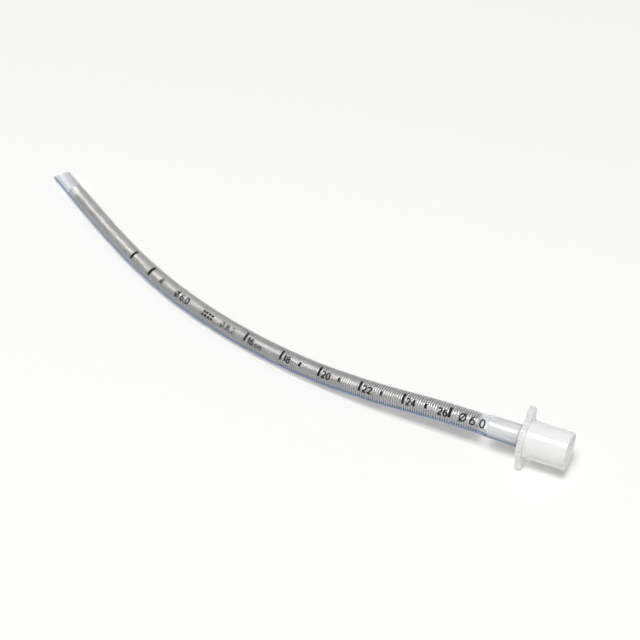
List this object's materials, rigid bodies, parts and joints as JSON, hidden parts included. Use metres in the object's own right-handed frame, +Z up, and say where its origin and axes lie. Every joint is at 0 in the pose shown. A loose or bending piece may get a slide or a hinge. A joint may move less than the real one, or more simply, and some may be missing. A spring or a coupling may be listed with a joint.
{
  "type": "endotracheal tube",
  "caption": "Clear wire-reinforced airway tube, bevelled at one end, with a standard 15 mm cone connector on a stretched clear end.",
  "frame": {"origin": "middle of the part's box in plan, on the surface that the tube lies on", "axes": "+X along the connector's axis and out of its mouth, +Z up from the surface, +Y towards the side that the bevelled tip curves to"},
  "size_m": [0.2972, 0.1008, 0.0243],
  "materials": {
    "clear_liner": "clear flexible plastic, smooth",
    "wire": "bright drawn wire in close turns",
    "clear_jacket": "clear flexible plastic, glossy, with black printed depth marks",
    "blue_line": "blue filled plastic, flush in the wall",
    "connector_plastic": "milky translucent moulding"
  },
  "bodies": {
    "root": {"liner": "clear_liner", "reinforcing_coil": "wire", "jacket": "clear_jacket", "radiopaque_line": "blue_line", "connector": "connector_plastic"}
  },
  "joints": []
}
